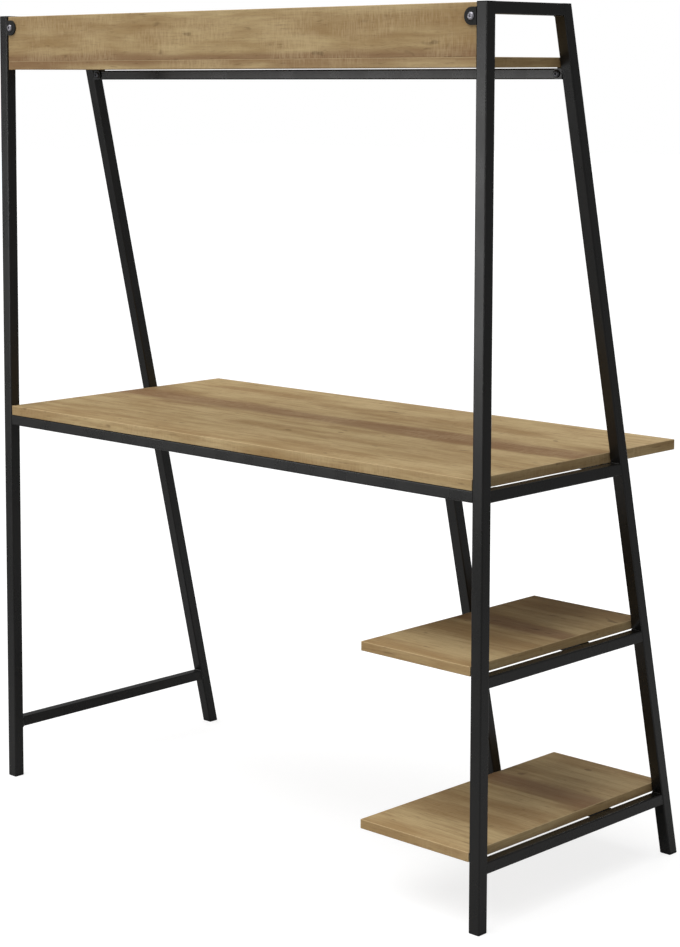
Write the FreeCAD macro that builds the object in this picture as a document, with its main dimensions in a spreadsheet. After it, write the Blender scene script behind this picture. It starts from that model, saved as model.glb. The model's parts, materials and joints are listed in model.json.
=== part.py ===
"""Ladder desk: two leaning side frames of square steel tube, boards between them.

Millimetres. +Z is up, +Y is the back (the upright posts), -Y is the user's side, and -X is the
side with the two small shelves. The origin is the centre of the bounding box, on the floor.

The members of the side frames are drawn in the side view (YZ) and padded along X, and the
cross members in the front view (XZ) and padded along Y. Each body's placement then moves it
along the axis it was padded in, so a sketch shows true heights and depths of the desk.
"""

import FreeCAD
import Part
import Sketcher
import math
import os
from dataclasses import dataclass

from FreeCAD import Placement, Rotation, Vector

# ---------------------------------------------------------------------------
# Driving dimensions
# ---------------------------------------------------------------------------

SIZES = (
    # Side frames
    ("overall_width", 1200),        # across the outer faces of the side frames
    ("overall_height", 1500),
    ("leg_foot_reach", 561),        # back of the posts to the front of the leg, at the floor
    ("leg_head_reach", 216.5),      # the same at the very top
    ("post_size", 22),              # square tube of the posts and legs
    ("rail_size", 20),              # square tube of the rails
    ("corner_radius", 2.5),         # outer corners of every tube
    ("tube_wall", 1.2),
    # Undersides of the lower boards, which are the tops of the rails that carry them
    ("low_level", 118),
    ("mid_level", 425),
    ("desk_level", 727),
    # Third leg, on the inner side of the small shelves
    ("shelf_bay_width", 238),       # inner face of the shelf side post to the third leg
    ("inner_leg_reach", 415),       # back of the posts to the front of the third leg, at the floor
    ("plate_length", 64),
    ("plate_width", 50),
    ("plate_thickness", 3),
    ("plate_hole_inset", 8),
    # Boards
    ("board_gap", 1.5),             # between a board's end and the posts
    ("board_setback", 1),           # back of the posts to the back of the desktop and shelves
    ("board_arris", 0.5),           # broken edges of the edge banding
    ("desktop_depth", 563),
    ("desktop_thickness", 18),
    ("shelf_thickness", 16),
    ("mid_shelf_overhang", 8.5),    # in front of the side leg, at the shelf's underside
    ("low_shelf_overhang", 3),
    ("top_shelf_depth", 245),
    ("back_board_height", 85),
    ("back_board_drop", 1.5),       # top of the tubes to the top of the back board
    # Top shelf rail, its pads, and the tabs on the frames
    ("top_tube_size", 18),          # square tube of the top shelf rail
    ("pad_thickness", 1.5),         # between the top shelf and its rail
    ("pad_length", 12),
    ("tab_thickness", 3),
    ("tab_hole_offset", 10),        # frame to the centre of a tab's round end
    ("board_tab_height", 28.5),
    ("board_tab_drop", 23),         # top of the tubes to the centre of the back board's tabs
    ("assembly_gap", 0.3),          # each end of a bolted cross rail
    # Angle brackets of the desk rails
    ("bracket_flange", 40),
    ("bracket_height", 18),
    ("bracket_thickness", 3),
    ("bracket_bend", 5),            # inner radius of the bend
    ("bracket_hole_offset", 25),    # corner to the centre of the hole
    # Bolts, their nuts and the inserts in the back board
    ("bolt_radius", 3),
    ("bolt_length", 12),
    ("bolt_head_radius", 6.5),
    ("bolt_head_height", 3.5),
    ("bolt_head_chamfer", 1.8),
    ("socket_size", 4),             # across flats
    ("socket_depth", 2),
    ("nut_size", 10),               # across flats
    ("nut_height", 5),
    ("insert_radius", 4.5),
    ("insert_length", 12),
    ("hole_clearance", 0.3),        # around a bolt or screw that passes through
    ("thread_gap", 0.05),           # around a bolt or screw, in what it threads into
    # Wood screws
    ("screw_radius", 2.4),
    ("screw_head_radius", 4.5),
    ("screw_head_height", 3),
    ("screw_head_chamfer", 1.2),
    ("screw_bite", 13),             # depth in the board
    ("screw_tip_gap", 1),           # pilot hole beyond the tip
    ("back_screw_bite", 34),
    ("desk_screw_pitch", 320),
    ("shelf_screw_pitch", 140),
    ("back_screw_pitch", 340),
    # Plastic feet and plugs
    ("foot_height", 4),
    ("foot_chamfer", 1.2),
    ("cap_height", 2),              # visible part of a top plug
    ("plug_depth", 14),             # hidden part, inside the tube
    ("plug_gap", 0.1),              # around it
)

# ---------------------------------------------------------------------------
# Positions worked out from them, as expressions on the sheet
# ---------------------------------------------------------------------------

INNER_X = "(Size.overall_width / 2 - Size.post_size)"
FRAME_X = "((Size.overall_width - Size.post_size) / 2)"
RAIL_FACE_X = f"({FRAME_X} - Size.rail_size / 2)"
INNER_LEG_FACE_X = f"({INNER_X} - Size.shelf_bay_width)"
INNER_LEG_X = f"({INNER_LEG_FACE_X} - Size.post_size / 2)"
BAY_X = f"({INNER_X} - Size.shelf_bay_width / 2)"
BRACKET_BOLT_X = f"({RAIL_FACE_X} - Size.bracket_hole_offset)"
TAB_BOLT_X = f"({INNER_X} - Size.tab_hole_offset)"
CROSS_RAIL_END_X = f"({INNER_X} - Size.assembly_gap)"

REAR_Y = "((Size.board_setback + Size.desktop_depth - Size.bolt_head_height) / 2)"
POST_FRONT_Y = f"({REAR_Y} - Size.post_size)"
BOARD_REAR_Y = f"({REAR_Y} - Size.board_setback)"
BACK_BOARD_Y = f"({REAR_Y} - Size.tab_thickness)"
BACK_SCREW_Y = f"({BACK_BOARD_Y} - Size.shelf_thickness / 2)"

DESK_RAIL_Z = "(Size.desk_level - Size.rail_size / 2)"
MID_BAR_Z = "(Size.mid_level - Size.rail_size / 2)"
LOW_BAR_Z = "(Size.low_level - Size.rail_size / 2)"
PLATE_Z = "(Size.desk_level - Size.plate_thickness)"
BACK_BOARD_Z = "(Size.overall_height - Size.back_board_drop - Size.back_board_height)"
BOARD_TAB_Z = "(Size.overall_height - Size.board_tab_drop)"
TOP_SHELF_Z = f"({BACK_BOARD_Z} - Size.shelf_thickness)"
TOP_TUBE_TOP = f"({TOP_SHELF_Z} - Size.pad_thickness)"
TOP_TUBE_Z = f"({TOP_TUBE_TOP} - Size.top_tube_size / 2)"
CAP_Z = "(Size.overall_height - Size.cap_height)"

BOARD_WIDTH = f"(2 * ({INNER_X} - Size.board_gap))"
SHELF_WIDTH = "(Size.shelf_bay_width - 2 * Size.board_gap)"
BOLT_HOLE = "(Size.bolt_radius + Size.hole_clearance)"
SCREW_HOLE = "(Size.screw_radius + Size.hole_clearance)"
SCREW_HEAD_HOLE = "(Size.screw_head_radius + Size.hole_clearance)"
PILOT_HOLE = "(Size.screw_radius + Size.thread_gap)"

SLOPE = "((Size.leg_foot_reach - Size.leg_head_reach) / Size.overall_height)"
STRETCH = f"sqrt(1 + {SLOPE} ^ 2)"


@dataclass(frozen=True)
class Upright:
    """A post or leg: its centre across the desk, and its faces in the side view.

    reach is the distance from the posts' backs to the leg's front at the floor, or empty for
    an upright post.
    """

    name: str
    x: str
    reach: str = ""

    def front_y(self, height):
        """Y of the front face at a height."""
        if self.reach:
            return f"({REAR_Y} - {self.reach} + {SLOPE} * {height})"
        return POST_FRONT_Y

    def back_y(self, height):
        """Y of the back face at a height."""
        return f"({self.front_y(height)} + {self.across('Size.post_size')})"

    def middle_y(self, height):
        """Y of the centre line at a height."""
        return f"({self.front_y(height)} + {self.across('Size.post_size')} / 2)"

    def across(self, thickness):
        """A thickness square to the tube, as measured on the level."""
        return f"({thickness} * {STRETCH})" if self.reach else f"({thickness})"

    def outline(self, bottom, top, inset="0"):
        """The four corners between two heights in the side view."""
        margin = self.across(inset)
        return (
            (f"({self.front_y(bottom)} + {margin})", bottom),
            (f"({self.back_y(bottom)} - {margin})", bottom),
            (f"({self.back_y(top)} - {margin})", top),
            (f"({self.front_y(top)} + {margin})", top),
        )


SIDES = (("shelf_side", -1), ("open_side", 1))
POSTS = [Upright(f"{side}_post", f"{sign} * {FRAME_X}") for side, sign in SIDES]
LEGS = [Upright(f"{side}_leg", f"{sign} * {FRAME_X}", "Size.leg_foot_reach") for side, sign in SIDES]
INNER_LEG = Upright("inner_leg", f"-{INNER_LEG_X}", "Size.inner_leg_reach")

POST_Y = POSTS[0].middle_y("0")
FRONT_RAIL_Y = LEGS[0].middle_y(DESK_RAIL_Z)
MID_BAR_Y = INNER_LEG.middle_y(MID_BAR_Z)
LOW_BAR_Y = INNER_LEG.middle_y(LOW_BAR_Z)
PLATE_Y = INNER_LEG.middle_y(PLATE_Z)
TOP_TUBE_Y = f"({LEGS[0].middle_y(TOP_TUBE_Z)} - Size.tab_thickness / 2)"
TAB_BACK_Y = f"({TOP_TUBE_Y} + Size.top_tube_size / 2 + Size.tab_thickness)"
REAR_BRACKET_Y = f"({POST_Y} - Size.rail_size / 2)"
FRONT_BRACKET_Y = f"({FRONT_RAIL_Y} + Size.rail_size / 2)"
REAR_BOLT_Y = f"({REAR_BRACKET_Y} - Size.bracket_hole_offset)"
FRONT_BOLT_Y = f"({FRONT_BRACKET_Y} + Size.bracket_hole_offset)"


def spread(count, pitch, centre="0"):
    """Positions of a row of holes about its centre."""
    return [f"({centre} + {index - (count - 1) / 2} * {pitch})" for index in range(count)]


DESK_SCREW_XS = spread(4, "Size.desk_screw_pitch")
BACK_SCREW_XS = spread(4, "Size.back_screw_pitch")
SHELF_SCREW_XS = spread(2, "Size.shelf_screw_pitch", f"-{BAY_X}")
PLATE_HOLES = [
    (f"{x_sign} * (Size.plate_length / 2 - Size.plate_hole_inset)",
     f"{y_sign} * (Size.plate_width / 2 - Size.plate_hole_inset)")
    for x_sign in (-1, 1)
    for y_sign in (-1, 1)
]

ALONG_X = Vector(1, 0, 0)
ALONG_Y = Vector(0, 1, 0)
ALONG_Z = Vector(0, 0, 1)

doc = FreeCAD.newDocument("LadderDesk")
parts = []


def fill_sheet():
    """Write the driving dimensions into the document's spreadsheet."""
    sheet = doc.addObject("Spreadsheet::Sheet", "Size")
    for row, (alias, value) in enumerate(SIZES, start=1):
        sheet.set(f"A{row}", str(value))
        sheet.setAlias(f"A{row}", alias)
    doc.recompute()


# ---------------------------------------------------------------------------
# Sketches
# ---------------------------------------------------------------------------

def number(owner, expression):
    """The present value of an expression, as a plain number."""
    return float(owner.evalExpression(expression))


def new_body(label):
    """A body whose label is the sub-part's name."""
    body = doc.addObject("PartDesign::Body", label)
    body.Label = label
    return body


def new_sketch(body, role, lift=None):
    """A sketch on one of the body's own origin planes, or at a height above it."""
    sketch = body.newObject("Sketcher::SketchObject", f"{body.Name}_sketch")
    plane = next(item for item in body.Origin.OriginFeatures if item.Role == role)
    sketch.AttachmentSupport = [(plane, "")]
    sketch.MapMode = "FlatFace"
    if lift:
        sketch.setExpression("AttachmentOffset.Base.z", lift)
    return sketch


def pin_point(sketch, geometry, end, x, y):
    """Hold a point of a sketch at two expressions."""
    for kind, expression in (("DistanceX", x), ("DistanceY", y)):
        value = number(sketch, expression)
        index = sketch.addConstraint(Sketcher.Constraint(kind, -1, 1, geometry, end, value))
        sketch.setExpression(f"Constraints[{index}]", expression)


def add_polygon(sketch, corners):
    """A closed polygon through corners given as pairs of expressions."""
    points = [Vector(number(sketch, x), number(sketch, y), 0) for x, y in corners]
    count = len(points)
    for index in range(count):
        sketch.addGeometry(Part.LineSegment(points[index], points[(index + 1) % count]), False)
    for index, (x, y) in enumerate(corners):
        following = (index + 1) % count
        sketch.addConstraint(Sketcher.Constraint("Coincident", index, 2, following, 1))
        pin_point(sketch, index, 1, x, y)


def add_circles(sketch, centres, radius):
    """One circle at each centre, all with the radius of an expression."""
    for x, y in centres:
        centre = Vector(number(sketch, x), number(sketch, y), 0)
        circle = Part.Circle(centre, ALONG_Z, number(sketch, radius))
        geometry = sketch.addGeometry(circle, False)
        pin_point(sketch, geometry, 3, x, y)
        index = sketch.addConstraint(Sketcher.Constraint("Radius", geometry, circle.Radius))
        sketch.setExpression(f"Constraints[{index}]", radius)


def add_tongue(sketch, reach, width):
    """A strip from the Y axis to a round end whose centre is at (reach, 0)."""
    half = f"({width} / 2)"
    length, radius = number(sketch, reach), number(sketch, half)
    circle = Part.Circle(Vector(length, 0, 0), ALONG_Z, radius)
    low_start, low_end = Vector(0, -radius, 0), Vector(length, -radius, 0)
    high_start, high_end = Vector(length, radius, 0), Vector(0, radius, 0)
    sketch.addGeometry(Part.LineSegment(low_start, low_end), False)
    sketch.addGeometry(Part.ArcOfCircle(circle, -math.pi / 2, math.pi / 2), False)
    sketch.addGeometry(Part.LineSegment(high_start, high_end), False)
    sketch.addGeometry(Part.LineSegment(high_end, low_start), False)
    sketch.addConstraint([
        Sketcher.Constraint("Tangent", 0, 2, 1, 1),
        Sketcher.Constraint("Tangent", 1, 2, 2, 1),
        Sketcher.Constraint("Coincident", 2, 2, 3, 1),
        Sketcher.Constraint("Coincident", 3, 2, 0, 1),
        Sketcher.Constraint("Horizontal", 0),
        Sketcher.Constraint("PointOnObject", 2, 2, -2),
    ])
    pin_point(sketch, 0, 1, "0", f"-{half}")
    pin_point(sketch, 1, 3, reach, "0")


def rectangle(x_low, x_high, y_low, y_high):
    """The corners of an upright rectangle."""
    return ((x_low, y_low), (x_high, y_low), (x_high, y_high), (x_low, y_high))


def hexagon(across_flats):
    """The corners of a hexagon about the origin."""
    radius = f"({across_flats} / sqrt(3))"
    return [
        (f"{radius} * cos({corner * 60} deg)", f"{radius} * sin({corner * 60} deg)")
        for corner in range(6)
    ]


# ---------------------------------------------------------------------------
# Features
# ---------------------------------------------------------------------------

def pad(body, sketch, length, midplane=False, downward=False):
    """Pad a sketch by the length of an expression."""
    feature = body.newObject("PartDesign::Pad", f"{body.Name}_pad")
    feature.Profile = sketch
    feature.Midplane = midplane
    feature.Reversed = downward
    feature.setExpression("Length", length)
    doc.recompute()
    return feature


def pocket(body, sketch, length, flipped=False):
    """Pocket a sketch, and make sure that it cuts."""
    before = body.Shape.Volume
    feature = body.newObject("PartDesign::Pocket", f"{body.Name}_pocket")
    feature.Profile = sketch
    feature.Reversed = flipped
    feature.setExpression("Length", length)
    doc.recompute()
    if not body.Shape.Volume < before:
        raise RuntimeError(f"{body.Label}: a pocket cuts nothing")


def drill(body, role, centres, radius, depth, flipped=False):
    """Round holes from one of the body's origin planes."""
    sketch = new_sketch(body, role)
    add_circles(sketch, centres, radius)
    pocket(body, sketch, depth, flipped)


def dress(body, kind, base, names, size_name, size):
    """A fillet, chamfer or thickness on edges or faces of the last feature."""
    feature = body.newObject(f"PartDesign::{kind}", f"{body.Name}_{kind.lower()}")
    feature.Base = (base, names)
    if kind == "Thickness":
        feature.Join = 0
        feature.Reversed = True
    feature.setExpression(size_name, size)
    doc.recompute()
    return feature


def edge_names(shape, wanted):
    """Names of the edges for which wanted(edge) is true."""
    return [f"Edge{index}" for index, edge in enumerate(shape.Edges, start=1) if wanted(edge)]


def runs_along(edge, axis):
    """True for a straight edge along an axis, within the lean of the legs."""
    straight = edge.Curve.TypeId == "Part::GeomLine"
    return straight and abs(edge.tangentAt(edge.FirstParameter).dot(axis)) > 0.9


def edges_along(shape, axis):
    """Names of the straight edges along an axis."""
    return edge_names(shape, lambda edge: runs_along(edge, axis))


def faces_across(shape, axis):
    """Names of the flat faces that look along an axis, within the lean of the legs."""
    return [
        f"Face{index}"
        for index, face in enumerate(shape.Faces, start=1)
        if face.Surface.TypeId == "Part::GeomPlane" and abs(face.normalAt(0, 0).dot(axis)) > 0.9
    ]


def place(thing, x="0", y="0", z="0", turn=None):
    """Bind a placement to expressions; turn is a rotation."""
    if turn:
        thing.Placement = Placement(Vector(), turn)
    for axis, expression in (("x", x), ("y", y), ("z", z)):
        thing.setExpression(f"Placement.Base.{axis}", expression)


# ---------------------------------------------------------------------------
# Tubes
# ---------------------------------------------------------------------------

def tube(label, role, outline, size, axis):
    """An open-ended tube: its long view padded to its width, rounded and hollowed."""
    body = new_body(label)
    sketch = new_sketch(body, role)
    add_polygon(sketch, outline)
    blank = pad(body, sketch, size, midplane=True)
    corners = edges_along(blank.Shape, axis)
    bar = dress(body, "Fillet", blank, corners, "Radius", "Size.corner_radius")
    dress(body, "Thickness", bar, faces_across(bar.Shape, axis), "Value", "Size.tube_wall")
    parts.append(body)
    return body


def upright_tube(upright, top):
    """A post or leg, from its foot to a height, with level ends."""
    outline = upright.outline("Size.foot_height", top)
    body = tube(upright.name, "YZ_Plane", outline, "Size.post_size", ALONG_Z)
    place(body, x=upright.x)


def side_rail(label, sign, top, bolt_ys=()):
    """A rail from a post to the leg in front, its front end cut to the leg's slant."""
    bottom = f"({top} - Size.rail_size)"
    leg = LEGS[0]
    outline = (
        (POST_FRONT_Y, bottom),
        (leg.back_y(bottom), bottom),
        (leg.back_y(top), top),
        (POST_FRONT_Y, top),
    )
    body = tube(label, "YZ_Plane", outline, "Size.rail_size", ALONG_Y)
    if bolt_ys:
        bolts = [(y, DESK_RAIL_Z) for y in bolt_ys]
        drill(body, "YZ_Plane", bolts, BOLT_HOLE, "Size.rail_size", flipped=sign < 0)
    place(body, x=f"{sign} * {FRAME_X}")


def drill_for_screws(body, centres, top):
    """Screw holes in a rail's upper wall, and wider ones below that let the heads in."""
    drill(body, "XY_Plane", centres, SCREW_HOLE, top, flipped=True)
    drill(body, "XY_Plane", centres, SCREW_HEAD_HOLE, f"({top} - Size.rail_size / 2)", flipped=True)


def cross_tube(label, ends, y, top, size):
    """A tube along X between two ends, with its top at a height."""
    outline = rectangle(*ends, f"({top} - {size})", top)
    body = tube(label, "XZ_Plane", outline, size, ALONG_X)
    place(body, y=y)
    return body


def side_frames():
    """The posts, legs and rails of both side frames, and the third leg."""
    for upright in POSTS + LEGS:
        upright_tube(upright, CAP_Z)
    upright_tube(INNER_LEG, PLATE_Z)
    for side, sign in SIDES:
        side_rail(f"{side}_top_rail", sign, "Size.overall_height")
        side_rail(f"{side}_desk_rail", sign, "Size.desk_level", (REAR_BOLT_Y, FRONT_BOLT_Y))
        side_rail(f"{side}_low_rail", sign, "Size.low_level")
    side_rail("shelf_side_mid_rail", -1, "Size.mid_level")


def desk_rails():
    """The two rails under the desktop, bolted to a bracket at each end."""
    ends = (f"-{CROSS_RAIL_END_X}", CROSS_RAIL_END_X)
    bolts = [(f"{sign} * {BRACKET_BOLT_X}", DESK_RAIL_Z) for side, sign in SIDES]
    screws = [(x, "0") for x in DESK_SCREW_XS]
    for label, y, bolts_ahead in (("rear", POST_Y, True), ("front", FRONT_RAIL_Y, False)):
        body = cross_tube(f"{label}_desk_rail", ends, y, "Size.desk_level", "Size.rail_size")
        drill(body, "XZ_Plane", bolts, BOLT_HOLE, "Size.rail_size", flipped=bolts_ahead)
        drill_for_screws(body, screws, "Size.desk_level")


def crossbars():
    """The two short bars under the small shelves, from a side rail to the third leg."""
    ends = (f"-{RAIL_FACE_X}", f"-{INNER_LEG_FACE_X}")
    screws = [(x, "0") for x in SHELF_SCREW_XS]
    for label, y, top in (("mid", MID_BAR_Y, "Size.mid_level"), ("low", LOW_BAR_Y, "Size.low_level")):
        body = cross_tube(f"{label}_crossbar", ends, y, top, "Size.rail_size")
        drill_for_screws(body, screws, top)


def top_shelf_rail():
    """The rail under the front of the top shelf, bolted to a tab at each end."""
    ends = (f"-{CROSS_RAIL_END_X}", CROSS_RAIL_END_X)
    body = cross_tube("top_shelf_rail", ends, TOP_TUBE_Y, TOP_TUBE_TOP, "Size.top_tube_size")
    bolts = [(f"{sign} * {TAB_BOLT_X}", TOP_TUBE_Z) for side, sign in SIDES]
    drill(body, "XZ_Plane", bolts, BOLT_HOLE, "Size.top_tube_size")


# ---------------------------------------------------------------------------
# Tabs, brackets and the third leg's plate
# ---------------------------------------------------------------------------

def tab(label, sign, width, back_y, z):
    """A flat tongue with a bolt hole, welded to the inner face of a post or leg."""
    body = new_body(label)
    sketch = new_sketch(body, "XZ_Plane")
    add_tongue(sketch, "Size.tab_hole_offset", width)
    add_circles(sketch, [("Size.tab_hole_offset", "0")], BOLT_HOLE)
    pad(body, sketch, "Size.tab_thickness", midplane=True)
    turn = Rotation(ALONG_Z, 0 if sign < 0 else 180)
    place(body, f"{sign} * {INNER_X}", f"({back_y} - Size.tab_thickness / 2)", z, turn)
    parts.append(body)


def tabs():
    """The tabs of the back board on the posts, and of the top shelf rail on the legs."""
    for side, sign in SIDES:
        tab(f"{side}_board_tab", sign, "Size.board_tab_height", REAR_Y, BOARD_TAB_Z)
        tab(f"{side}_rail_tab", sign, "Size.top_tube_size", TAB_BACK_Y, TOP_TUBE_Z)


def bracket(label, x, y, angle):
    """A bent strip in the corner between a desk rail and a side rail."""
    body = new_body(label)
    sketch = new_sketch(body, "XY_Plane")
    flange, thick = "Size.bracket_flange", "Size.bracket_thickness"
    corners = (("0", "0"), (flange, "0"), (flange, thick), (thick, thick), (thick, flange),
               ("0", flange))
    add_polygon(sketch, corners)
    blank = pad(body, sketch, "Size.bracket_height", midplane=True)

    def corner_edge(shape, offset):
        """The upright edge at an equal distance from both outer faces."""
        spot = Vector(offset, offset, 0)
        return edge_names(shape, lambda edge: edge.CenterOfMass.isEqual(spot, 1e-3))

    outer = corner_edge(blank.Shape, 0)
    outer_radius = "Size.bracket_bend + Size.bracket_thickness"
    bent = dress(body, "Fillet", blank, outer, "Radius", outer_radius)
    inner = corner_edge(bent.Shape, number(sketch, thick))
    dress(body, "Fillet", bent, inner, "Radius", "Size.bracket_bend")
    hole = [("Size.bracket_hole_offset", "0")]
    drill(body, "XZ_Plane", hole, BOLT_HOLE, thick)
    drill(body, "YZ_Plane", hole, BOLT_HOLE, thick, flipped=True)
    place(body, x, y, DESK_RAIL_Z, Rotation(ALONG_Z, angle))
    parts.append(body)


def brackets():
    """The four angle brackets, each turned away from its corner of the desk."""
    for side, sign, rear_angle, front_angle in (("shelf_side", -1, -90, 0), ("open_side", 1, 180, 90)):
        corner_x = f"{sign} * {RAIL_FACE_X}"
        bracket(f"{side}_rear_bracket", corner_x, REAR_BRACKET_Y, rear_angle)
        bracket(f"{side}_front_bracket", corner_x, FRONT_BRACKET_Y, front_angle)


def inner_leg_plate():
    """The plate on the third leg's head, screwed to the desktop."""
    body = new_body("inner_leg_plate")
    sketch = new_sketch(body, "XY_Plane")
    half_x, half_y = "Size.plate_length / 2", "Size.plate_width / 2"
    add_polygon(sketch, rectangle(f"-{half_x}", half_x, f"-{half_y}", half_y))
    blank = pad(body, sketch, "Size.plate_thickness")
    corners = edges_along(blank.Shape, ALONG_Z)
    dress(body, "Fillet", blank, corners, "Radius", "Size.plate_hole_inset / 2")
    drill(body, "XY_Plane", PLATE_HOLES, SCREW_HOLE, "Size.plate_thickness", flipped=True)
    place(body, INNER_LEG.x, PLATE_Y, PLATE_Z)
    parts.append(body)


# ---------------------------------------------------------------------------
# Boards
# ---------------------------------------------------------------------------

PILOT_DEPTH = "(Size.screw_bite + Size.screw_tip_gap)"


def board(label, width, depth, thickness):
    """A panel with broken edges; its origin is the middle of its lower back edge."""
    body = new_body(label)
    sketch = new_sketch(body, "XY_Plane")
    add_polygon(sketch, rectangle(f"-{width} / 2", f"{width} / 2", f"-{depth}", "0"))
    blank = pad(body, sketch, thickness)
    every_edge = edge_names(blank.Shape, lambda edge: True)
    dress(body, "Chamfer", blank, every_edge, "Size", "Size.board_arris")
    parts.append(body)
    return body


def desktop():
    """The desktop, with pilot holes over its two rails and over the third leg's plate."""
    body = board("desktop", BOARD_WIDTH, "Size.desktop_depth", "Size.desktop_thickness")
    holes = [(x, f"({y} - {BOARD_REAR_Y})") for x in DESK_SCREW_XS for y in (POST_Y, FRONT_RAIL_Y)]
    holes += [(f"({INNER_LEG.x} + {x})", f"({PLATE_Y} + {y} - {BOARD_REAR_Y})") for x, y in PLATE_HOLES]
    drill(body, "XY_Plane", holes, PILOT_HOLE, PILOT_DEPTH, flipped=True)
    place(body, y=BOARD_REAR_Y, z="Size.desk_level")


def small_shelf(label, overhang, level, bar_y):
    """A shelf between the shelf side frame and the third leg, on its crossbar."""
    depth = f"({BOARD_REAR_Y} - {LEGS[0].front_y(level)} + {overhang})"
    body = board(label, SHELF_WIDTH, depth, "Size.shelf_thickness")
    holes = [(f"({x} + {BAY_X})", f"({bar_y} - {BOARD_REAR_Y})") for x in SHELF_SCREW_XS]
    drill(body, "XY_Plane", holes, PILOT_HOLE, PILOT_DEPTH, flipped=True)
    place(body, f"-{BAY_X}", BOARD_REAR_Y, level)


def top_shelf():
    """The top shelf, counterbored from below for the back board's screws."""
    body = board("top_shelf", BOARD_WIDTH, "Size.top_shelf_depth", "Size.shelf_thickness")
    holes = [(x, f"({BACK_SCREW_Y} - {BACK_BOARD_Y})") for x in BACK_SCREW_XS]
    drill(body, "XY_Plane", holes, SCREW_HEAD_HOLE, "Size.screw_head_height", flipped=True)
    drill(body, "XY_Plane", holes, SCREW_HOLE, "Size.shelf_thickness", flipped=True)
    place(body, y=BACK_BOARD_Y, z=TOP_SHELF_Z)


def back_board():
    """The board that stands on the top shelf's back edge, bored for its inserts."""
    body = board("back_board", BOARD_WIDTH, "Size.shelf_thickness", "Size.back_board_height")
    screws = [(x, f"({BACK_SCREW_Y} - {BACK_BOARD_Y})") for x in BACK_SCREW_XS]
    depth = "(Size.back_screw_bite + Size.screw_tip_gap)"
    drill(body, "XY_Plane", screws, PILOT_HOLE, depth, flipped=True)
    inserts = [(f"{sign} * {TAB_BOLT_X}", f"({BOARD_TAB_Z} - {BACK_BOARD_Z})") for side, sign in SIDES]
    drill(body, "XZ_Plane", inserts, "Size.insert_radius", "Size.insert_length", flipped=True)
    place(body, y=BACK_BOARD_Y, z=BACK_BOARD_Z)


def boards():
    """All five boards."""
    desktop()
    small_shelf("mid_shelf", "Size.mid_shelf_overhang", "Size.mid_level", MID_BAR_Y)
    small_shelf("low_shelf", "Size.low_shelf_overhang", "Size.low_level", LOW_BAR_Y)
    top_shelf()
    back_board()


# ---------------------------------------------------------------------------
# Plastic feet and plugs
# ---------------------------------------------------------------------------

def tube_end(label, upright, low, high, plug_low, plug_high):
    """A flange the size of the tube, with a plug that fits inside it."""
    body = new_body(label)
    flange = new_sketch(body, "YZ_Plane")
    add_polygon(flange, upright.outline(low, high))
    blank = pad(body, flange, "Size.post_size", midplane=True)
    corners = edges_along(blank.Shape, ALONG_Z)
    rounded = dress(body, "Fillet", blank, corners, "Radius", "Size.corner_radius")
    if low == "0":
        rim = edge_names(rounded.Shape, lambda edge: edge.CenterOfMass.z < 1e-3)
        dress(body, "Chamfer", rounded, rim, "Size", "Size.foot_chamfer")
    inset = "(Size.tube_wall + Size.plug_gap)"
    sketch = new_sketch(body, "YZ_Plane")
    add_polygon(sketch, upright.outline(plug_low, plug_high, inset))
    plug = pad(body, sketch, f"Size.post_size - 2 * {inset}", midplane=True)
    plug_middle = number(sketch, f"({plug_low} + {plug_high}) / 2")
    plug_corners = edge_names(
        plug.Shape,
        lambda edge: runs_along(edge, ALONG_Z) and abs(edge.CenterOfMass.z - plug_middle) < 1e-3,
    )
    dress(body, "Chamfer", plug, plug_corners, "Size", "Size.corner_radius - Size.tube_wall")
    place(body, x=upright.x)
    parts.append(body)


def feet_and_plugs():
    """A foot under every upright tube, and a plug in the heads of the posts and side legs."""
    foot_plug_end = "(Size.foot_height + Size.plug_depth)"
    cap_plug_end = f"({CAP_Z} - Size.plug_depth)"
    for upright in POSTS + LEGS + [INNER_LEG]:
        tube_end(f"{upright.name}_foot", upright, "0", "Size.foot_height",
                 "Size.foot_height", foot_plug_end)
    for upright in POSTS + LEGS:
        tube_end(f"{upright.name}_plug", upright, CAP_Z, "Size.overall_height",
                 cap_plug_end, CAP_Z)


# ---------------------------------------------------------------------------
# Fasteners and pads: one master each, linked to every place where it sits
# ---------------------------------------------------------------------------

HEAD_TOWARDS = {
    ("x", 1): Rotation(ALONG_Y, 90),
    ("x", -1): Rotation(ALONG_Y, -90),
    ("y", 1): Rotation(ALONG_X, -90),
    ("y", -1): Rotation(ALONG_X, 90),
    ("z", 1): Rotation(),
    ("z", -1): Rotation(ALONG_X, 180),
}


def headed_pin(name, radius, length, head_radius, head_height, head_chamfer):
    """A bolt or screw down the Z axis, with its head standing on the plane z = 0."""
    body = new_body(name)
    sketch = new_sketch(body, "XZ_Plane")
    corners = (("0", f"-({length})"), (radius, f"-({length})"), (radius, "0"),
               (head_radius, "0"), (head_radius, head_height), ("0", head_height))
    add_polygon(sketch, corners)
    turned = body.newObject("PartDesign::Revolution", f"{name}_turned")
    turned.Profile = sketch
    turned.ReferenceAxis = (sketch, ["V_Axis"])
    doc.recompute()
    top = number(sketch, head_height)
    rim = edge_names(turned.Shape, lambda edge: edge.BoundBox.ZMin > top - 1e-3)
    dress(body, "Chamfer", turned, rim, "Size", head_chamfer)
    return body


def button_bolt():
    """The button head bolt, with its hexagon socket."""
    body = headed_pin("button_bolt", "Size.bolt_radius", "Size.bolt_length",
                      "Size.bolt_head_radius", "Size.bolt_head_height", "Size.bolt_head_chamfer")
    socket = new_sketch(body, "XY_Plane", lift="Size.bolt_head_height - Size.socket_depth")
    add_polygon(socket, hexagon("Size.socket_size"))
    pocket(body, socket, "Size.socket_depth", flipped=True)
    return body


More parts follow.
